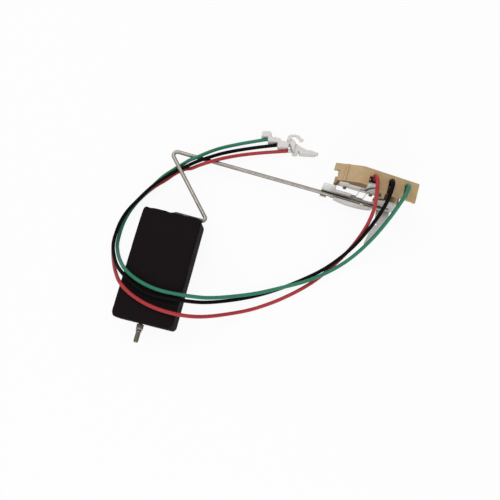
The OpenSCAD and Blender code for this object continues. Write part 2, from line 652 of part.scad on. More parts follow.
module float() {
    bore = wire_d + 2 * float_gap;
    left = axle_offset - float_w / 2;
    right = axle_offset + float_w / 2;
    end = float_l / 2;
    color(foam_black) at_axle() difference() {
        intersection() {
            slab(-end, end) polygon(rounded([[left, -float_h / 2], [right, -float_h / 2],
                [right, float_h / 2], [left, float_h / 2]], float_r));
            translate([0, 0, -float_h]) linear_extrude(2 * float_h)
                polygon(rounded([[left, -end], [right, -end], [right, end], [left, end]], float_r - 0.7));
        }
        round_y(bore, -end - 1, end + 1, 0, 0);
        // Countersinks at both ends of the bore
        for (side = [-1, 1])
            translate([0, side * (end + eps), 0]) rotate([side * 90, 0, 0])
                cylinder(d1 = bore + 2.8, d2 = bore, h = 1.4);
    }
}

// Ferrule below the float, with a groove, and the swaged tip of the axle
module float_retainer() {
    start = -float_l / 2 - retainer_gap;
    color(steel) at_axle() difference() {
        round_y(wire_d + 1.6, start - retainer_l, start, 0, 0);
        round_y(wire_d, start - retainer_l - 1, start + 1, 0, 0);
        difference() {
            round_y(wire_d + 3, start - retainer_l + 0.9, start - retainer_l + 1.5, 0, 0);
            round_y(wire_d + 0.9, start - retainer_l - 1, start + 1, 0, 0);
        }
    }
}

// Grooves of the leads with their crimps, and cavities of the contact blades
module entries() {
    for (e = lead_ends) facing(e[0], e[1]) {
        translate([0, 0, -entry_run]) cylinder(d = entry_d, h = entry_run + crimp_l + 0.1);
        cylinder(d = blade_hole_d, h = contact_l + 0.3);
    }
}

module connector_housing() {
    color(white_nylon) difference() {
        linear_extrude(plug_h) polygon(plug_outline);
        // The nose is lower than the body
        translate([nose_x, 0, plug_h - nose_drop]) cube([30, 40, nose_drop + 1]);
        entries();
    }
}

// Latch on top of the body: a root on the left, an arc band and a hook on the right, as one outline
module connector_latch() {
    color(white_nylon) translate([0, 0, plug_h]) linear_extrude(1.4) polygon(latch_outline);
}

module connector_lock() {
    color(white_nylon) difference() {
        linear_extrude(plug_h - 0.5) polygon(rounded(lock_outline, [0.4, 0, 0, 0.4, 0.5, 0.5, 0.5]));
        entries();
    }
}

module connector_terminals() {
    color(tinned) for (e = lead_ends) facing(e[0], e[1]) {
        cylinder(d = lead_d, h = crimp_l);
        translate([-0.3, -0.6, crimp_l - eps]) cube([0.6, 1.2, contact_l - crimp_l]);
    }
}

module lead_red() { color([0.75, 0.24, 0.26]) lead_tube(lead_red_route); }
module lead_black() { color([0.06, 0.05, 0.05]) lead_tube(lead_black_route); }
module lead_green() { color([0.2, 0.5, 0.38]) lead_tube(lead_green_route); }

sensor_housing();
mounting_clip();
resistor_card();
resistor_track();
contact_bars();
conductor_pads();
lead_terminals();
rotor();
wiper_spring();
wiper_contacts();
wiper_rivets();
float_arm();
pivot_push_nut();
float();
float_retainer();
connector_housing();
connector_latch();
connector_lock();
connector_terminals();
lead_red();
lead_black();
lead_green();
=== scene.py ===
import json
import math
import random

import bmesh
import bpy
import numpy as np
from mathutils import Matrix, Vector, noise
from mathutils.bvhtree import BVHTree


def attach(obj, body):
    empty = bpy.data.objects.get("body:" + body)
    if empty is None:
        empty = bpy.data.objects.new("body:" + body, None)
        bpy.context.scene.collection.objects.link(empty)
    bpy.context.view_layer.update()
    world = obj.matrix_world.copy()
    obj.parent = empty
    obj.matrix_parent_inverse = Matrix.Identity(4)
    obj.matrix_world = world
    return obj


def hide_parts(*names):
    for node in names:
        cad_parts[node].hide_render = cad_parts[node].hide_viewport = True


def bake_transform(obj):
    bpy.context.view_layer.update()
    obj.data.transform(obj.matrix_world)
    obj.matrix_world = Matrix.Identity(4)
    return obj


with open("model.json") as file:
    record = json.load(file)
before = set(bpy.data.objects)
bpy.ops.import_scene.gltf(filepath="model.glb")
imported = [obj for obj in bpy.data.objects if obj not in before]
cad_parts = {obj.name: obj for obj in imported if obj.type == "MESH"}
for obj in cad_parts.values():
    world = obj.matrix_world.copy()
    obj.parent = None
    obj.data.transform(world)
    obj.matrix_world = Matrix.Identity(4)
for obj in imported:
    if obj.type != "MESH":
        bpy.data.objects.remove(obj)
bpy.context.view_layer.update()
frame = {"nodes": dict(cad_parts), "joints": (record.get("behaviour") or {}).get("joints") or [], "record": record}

MM = 0.001

# What the frame says of each CAD node, of the arm's pivot and of the float's axle. Places are in millimetres.
nodes = frame["nodes"]
record = frame["record"]
SLOTS = {part["node"]: part["material_slot"] for part in record["subparts"]}
BODIES = {node: body for body, members in record["behaviour"]["bodies"].items() for node in members}
JOINT_PLACES = {joint["name"]: [c / MM for c in joint["pos_m"]] for joint in frame["joints"]}
PIVOT_H = JOINT_PLACES["arm_hinge"][2]
AXLE_MIDDLE = JOINT_PLACES["float_spin"]


def mm(*values):
    """Millimetres as metres."""
    return tuple(v * MM for v in values)


def new_object(name, data):
    """An object of that data, in the scene."""
    made = bpy.data.objects.new(name, data)
    bpy.context.scene.collection.objects.link(made)
    return made


def aim(thing, place, target):
    """Puts a camera or lamp at its place, with its view to the target."""
    thing.location = place
    thing.rotation_euler = (Vector(target) - Vector(place)).to_track_quat("-Z", "Y").to_euler()


# Camera at the photograph's viewing angle
PHOTO_SIDE = 500
FOCAL_PIXELS = 503
SENSOR_WIDTH = 36
CAMERA_PLACE = mm(-52.9, -120.8, 302.8)
CAMERA_TARGET = mm(-73, -55, 0)
camera = new_object("camera", bpy.data.cameras.new("camera"))
camera.data.sensor_fit = "HORIZONTAL"
camera.data.sensor_width = SENSOR_WIDTH
camera.data.lens = SENSOR_WIDTH * FOCAL_PIXELS / PHOTO_SIDE
camera.data.clip_start = 0.01
camera.data.clip_end = 10
aim(camera, CAMERA_PLACE, CAMERA_TARGET)
bpy.context.scene.camera = camera


# Meshes
def add_object(name, vertices, faces, smooth=True):
    """A piece with a mesh of those vertices, in metres, and faces."""
    mesh = bpy.data.meshes.new(name)
    mesh.from_pydata([tuple(v) for v in vertices], [], faces)
    mesh.validate()
    mesh.polygons.foreach_set("use_smooth", [smooth] * len(mesh.polygons))
    return new_object(name, mesh)


def smooth_route(points, step):
    """Centripetal Catmull-Rom curve through the points, sampled about every step."""
    p = [np.array(q, float) for q in points]
    p = [2 * p[0] - p[1]] + p + [2 * p[-1] - p[-2]]
    out = []
    for a, b, c, d in zip(p, p[1:], p[2:], p[3:]):
        t0 = 0.0
        t1 = t0 + np.linalg.norm(b - a) ** 0.5
        t2 = t1 + np.linalg.norm(c - b) ** 0.5
        t3 = t2 + np.linalg.norm(d - c) ** 0.5
        count = max(2, round(np.linalg.norm(c - b) / step))
        for k in range(count):
            t = t1 + (t2 - t1) * k / count
            ab = ((t1 - t) * a + (t - t0) * b) / (t1 - t0)
            bc = ((t2 - t) * b + (t - t1) * c) / (t2 - t1)
            cd = ((t3 - t) * c + (t - t2) * d) / (t3 - t2)
            abc = ((t2 - t) * ab + (t - t0) * bc) / (t2 - t0)
            bcd = ((t3 - t) * bc + (t - t1) * cd) / (t3 - t1)
            out.append(((t2 - t) * abc + (t - t1) * bcd) / (t2 - t1))
    out.append(p[-2])
    return np.array(out)


def tube(name, centres, radii, sides, first_side=(1, 0, 0)):
    """Closed tube round the centres, with one radius per ring, carried along without twist."""
    centres = np.asarray(centres, float)
    tangents = np.gradient(centres, axis=0)
    tangents /= np.linalg.norm(tangents, axis=1)[:, None]
    side = np.array(first_side, float)
    angles = 2 * math.pi * np.arange(sides) / sides
    rings = []
    for centre, t, r in zip(centres, tangents, radii):
        side = side - side.dot(t) * t
        side /= np.linalg.norm(side)
        up = np.cross(t, side)
        rings.append(centre + r * (np.outer(np.cos(angles), side) + np.outer(np.sin(angles), up)))
    n = len(centres)
    faces = []
    for i in range(n - 1):
        for k in range(sides):
            a, b = i * sides + k, i * sides + (k + 1) % sides
            faces.append((a, b, b + sides, a + sides))
    faces.append(tuple(range(sides - 1, -1, -1)))
    faces.append(tuple((n - 1) * sides + k for k in range(sides)))
    return add_object(name, np.concatenate(rings), faces)


# Leads, in millimetres. Each route is the one in the part's source.
LEAD_D = 2.2
LEAD_SIDES = 20
LEAD_STEP = 1.2
TABLE_GAP = 0.02
LEAD_ROUTES = {
    "lead_red": [
        (-14, 2, 23), (-14, 2, 29), (-13.5, -1.5, 33), (-12.5, -7, 33.6), (-11, -12.5, 30), (-9.8, -18, 23),
        (-10.5, -26, 13), (-14, -36, 4.5), (-19.5, -46.5, 1.2), (-31, -63.5, 1.2), (-46, -78.5, 1.2),
        (-60, -89, 1.2), (-72, -96, 4.5), (-88, -104, 16), (-100.1, -106.7, 20.6), (-115.9, -106.6, 20.6),
        (-129, -103.3, 20.6), (-136.4, -99.3, 20.2), (-143.3, -93.5, 13.5), (-148.8, -87.2, 6.6),
        (-152.9, -80.6, 2.2), (-155, -74.9, 1.2), (-155.5, -67.7, 1.2), (-154.9, -60.9, 1.2),
        (-152.9, -53.6, 1.2), (-149.5, -45.7, 1.2), (-146.3, -39.3, 1.2), (-142.2, -33, 1.2),
        (-137.3, -27.2, 1.2), (-132.8, -21.2, 1.2), (-127.7, -16.6, 1.2), (-124.3, -15.7, 2.4),
        (-120.1, -14, 5.6), (-116, -12.5, 8.8), (-111.6, -9.6, 9.2), (-106.5, -5.5, 7.6), (-96.9, 1.4, 4),
        (-84.1, 7.5, 3), (-68.5, 13.4, 3.3),
    ],
    "lead_black": [
        (-4.4, 2, 23), (-4.4, 2, 29), (-4.4, -1.5, 33.2), (-4.6, -7.5, 34), (-5.1, -13, 31.5),
        (-6.2, -19, 24), (-8.6, -26, 16.5), (-13, -35.5, 9.8), (-19.5, -45.5, 5.4), (-28, -55.5, 3),
        (-43, -68.5, 1.2), (-56, -78, 1.2), (-69, -85.7, 2.8), (-87, -95, 14.8), (-97.5, -98.1, 20.6),
        (-118, -100.6, 20.6), (-129.9, -97.5, 20.6), (-137, -93.7, 20.3), (-144.3, -89, 14),
        (-149, -84, 9.3), (-152.2, -79.6, 5.6), (-154.1, -74.8, 3.8), (-154.5, -67.7, 4.2),
        (-153.8, -61.1, 5.1), (-151.7, -54, 6), (-148.1, -46.3, 6.4), (-145, -40, 6.5),
        (-141.4, -33.5, 6.4), (-137.3, -27.2, 5.2), (-132.9, -21.1, 4), (-127.9, -16.4, 3.8),
        (-124.7, -14.2, 5.4), (-121.2, -12.7, 8.4), (-118.2, -10.6, 9), (-113.9, -7, 8.3),
        (-107.8, -1.6, 6), (-99.2, 4.4, 3.6), (-88.2, 10.1, 3), (-76.4, 15.2, 3.3),
    ],
    "lead_green": [
        (5.2, 2, 23), (5.2, 2, 29), (4.8, -1.5, 33), (3.6, -6.5, 33.8), (2.1, -12, 31), (0, -19, 22.8),
        (-3.7, -28, 14), (-9, -37.5, 8.2), (-15.5, -46.5, 5), (-24, -55.5, 4.8), (-35, -64.5, 4.6),
        (-48, -72.5, 4), (-61, -80, 4.5), (-73, -86, 7.8), (-84, -91.3, 14.8), (-91.7, -94.1, 20.6),
        (-113.4, -96.7, 20.6), (-126, -95.2, 20.6), (-133.5, -92.6, 20.8), (-137.1, -90.6, 20.2),
        (-141.7, -87.4, 15), (-146.1, -83.5, 9.8), (-149.7, -79.3, 4.9), (-152.4, -74.7, 1.2),
        (-153, -67.7, 1.9), (-152.8, -61.3, 2.6), (-151.4, -54.1, 3.4), (-148.6, -46.1, 3.8),
        (-145.5, -39.7, 3.9), (-142.4, -32.9, 3.8), (-139.2, -25.9, 2.6), (-134.9, -19.3, 1.3),
        (-129.6, -13.7, 2.3), (-127.3, -12.6, 5), (-125.4, -12.3, 7.7), (-123.4, -11.2, 8.8),
        (-121.1, -9.2, 8.6), (-117.3, -5, 7.4), (-110.4, 1.9, 4.6), (-100.5, 8.6, 3), (-91.8, 13.2, 3),
        (-83.3, 17.3, 3.3),
    ],
}


def route_length(centres):
    """Length along the centreline, in metres."""
    return float(np.linalg.norm(np.diff(centres, axis=0), axis=1).sum())


leads, lead_centres = {}, {}
for name, route in LEAD_ROUTES.items():
    centres = smooth_route(route, LEAD_STEP)
    centres[:, 2] = np.maximum(centres[:, 2], LEAD_D / 2 + TABLE_GAP)
    centres = centres * MM
    leads[name] = tube(name + "_insulation", centres, [LEAD_D / 2 * MM] * len(centres), LEAD_SIDES)
    lead_centres[name] = centres
    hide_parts(name)
    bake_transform(leads[name])
    print(name, "length in mm:", round(route_length(centres) / MM, 1))


# Pieces that stand for CAD nodes
def final_mesh(mesh, modifiers):
    """The mesh after the modifiers, which are given as (kind, settings)."""
    holder = new_object("holder", mesh)
    for kind, settings in modifiers:
        modifier = holder.modifiers.new(kind.lower(), kind)
        for key, value in settings.items():
            setattr(modifier, key, value)
    graph = bpy.context.evaluated_depsgraph_get()
    done = bpy.data.meshes.new_from_object(holder.evaluated_get(graph))
    bpy.data.objects.remove(holder)
    return done


def stands_for(mesh, piece_name, node):
    """Puts the mesh into the scene as a piece in the node's place, with the node's body."""
    body, slot = BODIES[node], SLOTS[node]
    piece = new_object(piece_name, mesh)
    mesh.materials.clear()
    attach(piece, body)
    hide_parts(node)
    return piece


# Rounding of the CAD shapes: gaps in millimetres, turns in degrees, a share of the width and a count of faces
JOINED_GAP = 0.003
FLAT_TURN = 1
BEVEL_TURN = 32
BEVEL_SEGMENTS = 2
SHARP_TURN = 40
COINCIDENT_GAP = 0.0002
STRAY_SHARE = 0.7
SMALLEST_SHELL = 12


def without_slivers(mesh):
    """Merges vertices that coincide, and drops doubled faces and loose shells of a few faces."""
    b = bmesh.new()
    b.from_mesh(mesh)
    bmesh.ops.remove_doubles(b, verts=b.verts, dist=COINCIDENT_GAP * MM)
    bmesh.ops.dissolve_degenerate(b, edges=b.edges, dist=COINCIDENT_GAP * MM)
    twins = {}
    for face in b.faces:
        twins.setdefault(frozenset(v.index for v in face.verts), []).append(face)
    bmesh.ops.delete(b, geom=[f for same in twins.values() if len(same) > 1 for f in same], context="FACES")
    left = set(b.faces)
    loose = []
    while left:
        shell, to_visit = set(), [left.pop()]
        while to_visit:
            face = to_visit.pop()
            shell.add(face)
            near = {f for e in face.edges for f in e.link_faces if f in left}
            left -= near
            to_visit += near
        if len(shell) < SMALLEST_SHELL:
            loose += shell
    bmesh.ops.delete(b, geom=loose, context="FACES")
    b.to_mesh(mesh)
    b.free()


def softened(node, width):
    """The node's shape with its sharp edges rounded by width millimetres, as moulded parts have them."""
    cleaned = nodes[node].data.copy()
    b = bmesh.new()
    b.from_mesh(cleaned)
    bmesh.ops.remove_doubles(b, verts=b.verts, dist=JOINED_GAP * MM)
    bmesh.ops.dissolve_limit(b, angle_limit=math.radians(FLAT_TURN), verts=b.verts, edges=b.edges)
    b.to_mesh(cleaned)
    b.free()
    mesh = final_mesh(cleaned, [
        ("BEVEL", {"width": width * MM, "segments": BEVEL_SEGMENTS, "limit_method": "ANGLE",
                   "angle_limit": math.radians(BEVEL_TURN), "use_clamp_overlap": False,
                   "miter_outer": "MITER_ARC"}),
        ("TRIANGULATE", {}),
    ])
    # A bevel throws a few vertices far out where faces meet at a flat angle: they go back to the surface
    cleaned_faces = [tuple(f.vertices) for f in cleaned.polygons]
    surface = BVHTree.FromPolygons([v.co for v in cleaned.vertices], cleaned_faces)
    for vertex in mesh.vertices:
        nearest, _, _, distance = surface.find_nearest(vertex.co)
        if distance > STRAY_SHARE * width * MM:
            vertex.co = nearest
    without_slivers(mesh)
    # The normals that came with the CAD mesh no longer fit its faces
    if "custom_normal" in mesh.attributes:
        mesh.attributes.remove(mesh.attributes["custom_normal"])
    mesh.polygons.foreach_set("use_smooth", [True] * len(mesh.polygons))
    mesh.set_sharp_from_angle(angle=math.radians(SHARP_TURN))
    mesh = final_mesh(mesh, [("WEIGHTED_NORMAL", {"keep_sharp": True})])
    return stands_for(mesh, node + "_moulded", node)


def turned(name, outline, origin, axis, sides=48):
    """Ring with the closed outline of (radius, distance along the axis) points, in millimetres."""
    axis = Vector(axis).normalized()
    side = axis.orthogonal().normalized()
    up = axis.cross(side)
    vertices, faces, n = [], [], len(outline)
    for i in range(sides):
        angle = 2 * math.pi * i / sides
        out = side * math.cos(angle) + up * math.sin(angle)
        vertices += [(Vector(origin) + axis * along + out * r) * MM for r, along in outline]
        for k in range(n):
            j, m = (i + 1) % sides, (k + 1) % n
            faces.append((i * n + k, j * n + k, j * n + m, i * n + m))
    return add_object(name, vertices, faces)


DOME_RINGS = 6
DOME_TOP_ANGLE = 0.15
DOME_OVERSIZE = 0.02
DOME_SIDES = 32


def domed(name, spot, start, end, radius, front_rise=0, back_rise=0):
    """Round button at the (x, z) spot, along Y from start to end, with a dome of each rise that is given."""
    def ring(edge, rise, angle):
        return edge + rise * math.cos(angle), radius * math.sin(angle) + DOME_OVERSIZE

    angles = np.linspace(DOME_TOP_ANGLE, math.pi / 2, DOME_RINGS)
    front = [ring(start, -front_rise, angle) for angle in angles] if front_rise else [(start, radius)]
    back = [ring(end, back_rise, angle) for angle in angles[::-1]] if back_rise else [(end, radius)]
    rings = front + back
    centres = [mm(spot[0], along, spot[1]) for along, _ in rings]
    return tube(name, centres, [r * MM for _, r in rings], DOME_SIDES)


def join(name, pieces):
    """One mesh made of those of the pieces, which are removed."""
    whole = bmesh.new()
    for piece in pieces:
        whole.from_mesh(piece.data)
        bpy.data.objects.remove(piece)
    mesh = bpy.data.meshes.new(name)
    whole.to_mesh(mesh)
    whole.free()
    return mesh


ARC_STEP_SHARE = 0.4


def bent_path(points, radii, step):
    """Points about every step along straight stretches that are joined by arcs of the given radii."""
    p = [np.array(q, float) for q in points]
    stops = [p[0]]
    for before, corner, after, r in zip(p, p[1:], p[2:], radii):
        u = (before - corner) / np.linalg.norm(before - corner)
        v = (after - corner) / np.linalg.norm(after - corner)
        turn = math.acos(max(-1.0, min(1.0, float(np.dot(-u, v)))))
        centre = corner + (u + v) / np.linalg.norm(u + v) * r / math.cos(turn / 2)
        a = (corner + u * r * math.tan(turn / 2) - centre) / r
        b = (corner + v * r * math.tan(turn / 2) - centre) / r
        count = max(3, math.ceil(turn * r / (ARC_STEP_SHARE * step)))
        for k in range(count + 1):
            stops.append(centre + r * (math.sin((1 - k / count) * turn) * a + math.sin(k / count * turn) * b)
                         / math.sin(turn))
    stops.append(p[-1])
    out = [stops[0]]
    for a, b in zip(stops, stops[1:]):
        count = max(1, round(np.linalg.norm(b - a) / step))
        out += [a + (b - a) * k / count for k in range(1, count + 1)]
    return np.array(out)


EDGE_STEP = 0.3
EDGE_STATIONS = 11


def rounded_block(half, corner_r, edge_r, middle_step):
    """Vertices and faces of a box with half sizes, upright corners of corner_r, and edges along its sides and
    ends of the two radii in edge_r. Its faces are fine near the edges and about middle_step between them."""
    def stations(h):
        near = [h - EDGE_STEP * k for k in range(EDGE_STATIONS)]
        inner = near[-1]
        count = max(2, round(2 * inner / middle_step))
        middle = [-inner + 2 * inner * k / count for k in range(1, count)]
        return sorted({round(v, 6) for v in [-v for v in near] + middle + near})

    axes = [stations(h) for h in half]
    index, vertices, faces = {}, [], []

    def vertex(i, j, k):
        if (i, j, k) not in index:
            index[i, j, k] = len(vertices)
            vertices.append(place(axes[0][i], axes[1][j], axes[2][k]))
        return index[i, j, k]

    def place(x, y, z):
        flat = np.array([x, y])
        core = np.array(half[:2]) - corner_r
        inner = np.clip(flat, -core, core)
        out = flat - inner
        reach = np.abs(out).max()
        rise = abs(z)
        on_side = out[0] ** 2 / max(1e-12, float(out @ out))
        r = edge_r[0] * on_side + edge_r[1] * (1 - on_side)
        a, b = reach - (corner_r - r), rise - (half[2] - r)
        if a > 0 and b > 0:
            shrink = max(a, b) / math.hypot(a, b)
            reach, rise = corner_r - r + a * shrink, half[2] - r + b * shrink
        if np.abs(out).max() > 0:
            flat = inner + out / np.linalg.norm(out) * reach
        return (flat[0], flat[1], math.copysign(rise, z))

    n = [len(a) for a in axes]
    for axis in range(3):
        u, v = (axis + 1) % 3, (axis + 2) % 3
        for end in (0, n[axis] - 1):
            for i in range(n[u] - 1):
                for j in range(n[v] - 1):
                    corners = []
                    for du, dv in ((0, 0), (1, 0), (1, 1), (0, 1)):
                        c = [0, 0, 0]
                        c[axis], c[u], c[v] = end, i + du, j + dv
                        corners.append(vertex(*c))
                    faces.append(tuple(corners if end else corners[::-1]))
    return vertices, faces


# CAD shapes that are shown with rounded edges, and the width of the rounding in millimetres
ROUNDINGS = {
    "sensor_housing": 0.2, "mounting_clip": 0.3, "resistor_card": 0.1, "rotor": 0.16,
    "connector_housing": 0.35, "connector_latch": 0.3, "connector_lock": 0.35,
    "lead_terminals": 0.12, "connector_terminals": 0.1, "wiper_spring": 0.06,
}
moulded_parts = {node: softened(node, width) for node, width in ROUNDINGS.items()}

# Rivets of the wiper: a shank through the rotor, a domed head in front and a flatter foot behind
ROTOR_BACK = -6.2
ROTOR_FRONT = -7.66
RIVET_X = (-31, -26)
RIVET_Z = PIVOT_H + 2.4
RIVET_HEAD_R = 1.18
RIVET_HEAD_EDGE = 0.12
RIVET_HEAD_RISE = 0.38
RIVET_FOOT_EDGE = 0.1
RIVET_FOOT_RISE = 0.2
SHANK_R = 0.6
SHANK_FRONT = ROTOR_FRONT - 0.25
SHANK_BACK = ROTOR_BACK + 0.2
rivets = []
for rivet_x in RIVET_X:
    spot = (rivet_x, RIVET_Z)
    head_front, foot_back = ROTOR_FRONT - RIVET_HEAD_EDGE, ROTOR_BACK + RIVET_FOOT_EDGE
    rivets.append(domed("shank", spot, SHANK_FRONT, SHANK_BACK, SHANK_R))
    rivets.append(domed("head", spot, head_front, ROTOR_FRONT, RIVET_HEAD_R, front_rise=RIVET_HEAD_RISE))
    rivets.append(domed("foot", spot, ROTOR_BACK, foot_back, RIVET_HEAD_R, back_rise=RIVET_FOOT_RISE))
rivet_piece = stands_for(join("wiper_rivets_domed", rivets), "wiper_rivets_domed", "wiper_rivets")

# Contact buttons of the wiper, each on its track round the pivot and at its height above it
BUTTON_TRACKS = ((18, 3), (13.3, 1.2))
BUTTON_R = 0.7
BUTTON_FRONT = -1.85
BUTTON_BACK = -1.6
BUTTON_RISE = 0.25
buttons = []
for track_r, height in BUTTON_TRACKS:
    spot = (-math.sqrt(track_r ** 2 - height ** 2), PIVOT_H + height)
    buttons.append(domed("button", spot, BUTTON_FRONT, BUTTON_BACK, BUTTON_R, back_rise=BUTTON_RISE))
button_piece = stands_for(join("wiper_contacts_domed", buttons), "wiper_contacts_domed", "wiper_contacts")

# Axle: the lower end of the wire, which the float turns on
AXLE_TURN = math.radians(3.2)
AXLE = (math.sin(AXLE_TURN), -math.cos(AXLE_TURN), 0)


def on_axle(along):
    """The point of the axle at that distance from the float's middle, downwards in the picture."""
    return tuple(middle + along * part for middle, part in zip(AXLE_MIDDLE, AXLE))


# Wire arm: one bent wire of slightly uneven thickness, with chamfered ends and a peened tip
WIRE_D = 2.5
PIN_END = 5.7
WIRE_FRONT = -8.95
ELBOW_OF_AXLE = on_axle(-35.25)
WIRE_TIP = on_axle(44.45)
WIRE_POINTS = [(0, PIN_END, PIVOT_H), (0, WIRE_FRONT, PIVOT_H), (-43, WIRE_FRONT, PIVOT_H),
               (-140.2, -8.6, 5.6), (-102.0, -48.0, 8.7), ELBOW_OF_AXLE, WIRE_TIP]
WIRE_RADII = (2.6, 20, 2.4, 1.75, 2.5)
WIRE_STEP = 0.9
WIRE_SIDES = 28
CHAMFER_LENGTH = 0.45
CHAMFER_SLOPE = 0.8
UNEVEN_DEPTH = 0.012
UNEVEN_PITCH = 0.35
PEENED_LENGTH = 5.9
PEENED_RUN_IN = 0.5
PEENED_RISE = 0.17
wire_path = bent_path(WIRE_POINTS, WIRE_RADII, WIRE_STEP)
wire_radii = []
for centre in wire_path:
    from_pin_end = np.linalg.norm(centre - wire_path[0])
    from_tip = np.linalg.norm(centre - wire_path[-1])
    chamfer = CHAMFER_SLOPE * min(0.0, min(from_pin_end, from_tip) - CHAMFER_LENGTH)
    uneven = UNEVEN_DEPTH * (noise.noise(Vector(centre * UNEVEN_PITCH)) - 1)
    peened = PEENED_RISE * min(1.0, max(0.0, (PEENED_LENGTH - from_tip) / PEENED_RUN_IN))
    wire_radii.append(WIRE_D / 2 + chamfer + uneven + peened)
wire = tube("float_arm_wire", wire_path * MM, np.array(wire_radii) * MM, WIRE_SIDES, (0, 0, 1))
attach(wire, "arm")
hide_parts("float_arm")

# Ferrule below the float: turned, with a groove, chamfered ends and a narrow lower lip
FERRULE_START = on_axle(33.85)
FERRULE = [(1.26, 0), (1.85, 0), (2.05, 0.2), (2.05, 2.9), (1.95, 3.1), (1.6, 3.2), (1.52, 3.45), (1.6, 3.7),
           (1.72, 3.85), (1.72, 4.35), (1.6, 4.55), (1.5, 4.6), (1.26, 4.6)]
FERRULE_SHARP_TURN = 35
ferrule = turned("float_retainer_turned", FERRULE, FERRULE_START, AXLE)
ferrule.data.set_sharp_from_angle(angle=math.radians(FERRULE_SHARP_TURN))
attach(ferrule, "arm")
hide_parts("float_retainer")

# Witness marks of the ejector pins on the back of the housing: a raised disc in a rim
MARK_SPOTS = ((-8, 21), (8.6, 4), (-12, 4.2), (-22, 21.5))
MARK_R = 1.25
MARK_FACE = 5.9
MARK_TOP = 6.03
MARK_RISE = 0.01
MARK_RIM = [(1.22, 0.01), (1.42, 0.01), (1.42, 0.14), (1.36, 0.17), (1.3, 0.14)]
MARK_SIDES = 32
marks = []
for x, z in MARK_SPOTS:
    marks.append(domed("mark", (x, z), MARK_FACE, MARK_TOP, MARK_R, back_rise=MARK_RISE))
    marks.append(turned("rim", MARK_RIM, (x, MARK_FACE, z), (0, 1, 0), MARK_SIDES))
mark_piece = new_object("ejector_marks", join("ejector_marks", marks))
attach(mark_piece, "housing")

# Foam float: a cut block with soft corners, uneven faces and nicked edges, and a bore that the axle turns in
FLOAT_OFFSET = 1.75
FLOAT_HALF = (18.2, 33.5, 9.5)
FLOAT_SKIN = 0.06
FLOAT_CORNER_R = 2.5
FLOAT_EDGE_R = (2.0, 0.7)
FLOAT_STEP = 1.5
FLOAT_SHARP_TURN = 50
BORE_R = 1.35
BORE_CONE = 1.4
BORE_SIDES = 40

# Unevenness of the float: depths of its waves and of its finer dents, and how many there are in a millimetre
WAVE_DEPTH = 0.07
WAVE_PITCH = 0.09
DENT_DEPTH = 0.035
DENT_PITCH = 0.45
DENT_SHIFT = Vector((9, 0, 0))
INWARDS_POWER = 5

# Small nicks at random: a seed, their number, and limits of their size, depth, place and reach
NICK_SEED = 7
SMALL_NICKS = 26
NICK_SIZES = (0.8, 2.2)
NICK_DEPTHS = (0.15, 0.5)
NICK_FROM_CORNER = 1.5
NICK_REACH = 2.5

# Larger nicks that the photograph shows on the far, left and near edges of the top: place, size and depth
LARGE_NICKS = [
    ((-1.9, 33.5, 9.5), 1.3, 0.6), ((16.1, 33.5, 9.5), 1.2, 0.6), ((-13.9, 33.5, 9.5), 1.6, 0.5),
    ((-18.1, 27, 9.5), 1.2, 0.6), ((17.5, -33, 8), 2.4, 0.9), ((-17.8, -33, 8), 2.0, 0.6),
    ((-18.1, -26.5, 9.5), 1.2, 0.5),
]


def float_nicks():
    """Small nicks at random places along the edges, and the larger ones."""
    draw = random.Random(NICK_SEED)
    nicks = []
    for _ in range(SMALL_NICKS):
        edge = draw.randrange(3)
        spot = [draw.choice((-1, 1)) * h for h in FLOAT_HALF]
        spot[edge] = draw.uniform(-1, 1) * (FLOAT_HALF[edge] - NICK_FROM_CORNER)
        nicks.append((spot, draw.uniform(*NICK_SIZES), draw.uniform(*NICK_DEPTHS)))
    return [(Vector(spot), size, depth) for spot, size, depth in nicks + LARGE_NICKS]


def dented(p, nicks):
    """The block's surface point p, pushed in by the waves, the finer dents and the nicks near it."""
    inwards = Vector([-(c / h) ** INWARDS_POWER for c, h in zip(p, FLOAT_HALF)]).normalized()
    depth_here = WAVE_DEPTH * (1 + noise.noise(p * WAVE_PITCH))
    depth_here += DENT_DEPTH * (1 + noise.noise(p * DENT_PITCH + DENT_SHIFT))
    for spot, size, depth in nicks:
        gap = (p - spot).length
        if gap < NICK_REACH * size:
            depth_here += depth * math.exp(-(gap / size) ** 2)
    return p + inwards * depth_here


def bore_cutter():
    """What is cut out left of the float's middle for its axle: a bore that opens in a cone at each end."""
    end = FLOAT_HALF[1]
    rings = [(-end - 1, BORE_R + BORE_CONE), (-end, BORE_R + BORE_CONE), (-end + BORE_CONE, BORE_R)]
    rings += [(-along, r) for along, r in reversed(rings)]
    centres = [mm(-FLOAT_OFFSET, along, 0) for along, _ in rings]
    return tube("float_bore", centres, [r * MM for _, r in rings], BORE_SIDES, (0, 0, 1))


def foam_float():
    """The float, built round its own middle and then moved, with its bore to the axle."""
    half = [h - FLOAT_SKIN for h in FLOAT_HALF]
    vertices, faces = rounded_block(half, FLOAT_CORNER_R, FLOAT_EDGE_R, FLOAT_STEP)
    nicks = float_nicks()
    block = add_object("float_block", [dented(Vector(v), nicks) * MM for v in vertices], faces)
    cutter = bore_cutter()
    cut = {"operation": "DIFFERENCE", "solver": "EXACT", "object": cutter}
    mesh = final_mesh(block.data, [("BOOLEAN", cut)])
    bpy.data.objects.remove(cutter)
    bpy.data.objects.remove(block)
    from_axle = Matrix.Translation(mm(FLOAT_OFFSET, 0, 0))
    mesh.transform(Matrix.Translation(mm(*AXLE_MIDDLE)) @ Matrix.Rotation(AXLE_TURN, 4, "Z") @ from_axle)
    mesh.polygons.foreach_set("use_smooth", [True] * len(mesh.polygons))
    mesh.set_sharp_from_angle(angle=math.radians(FLOAT_SHARP_TURN))
    return stands_for(mesh, "float_foam", "float")


float_piece = foam_float()


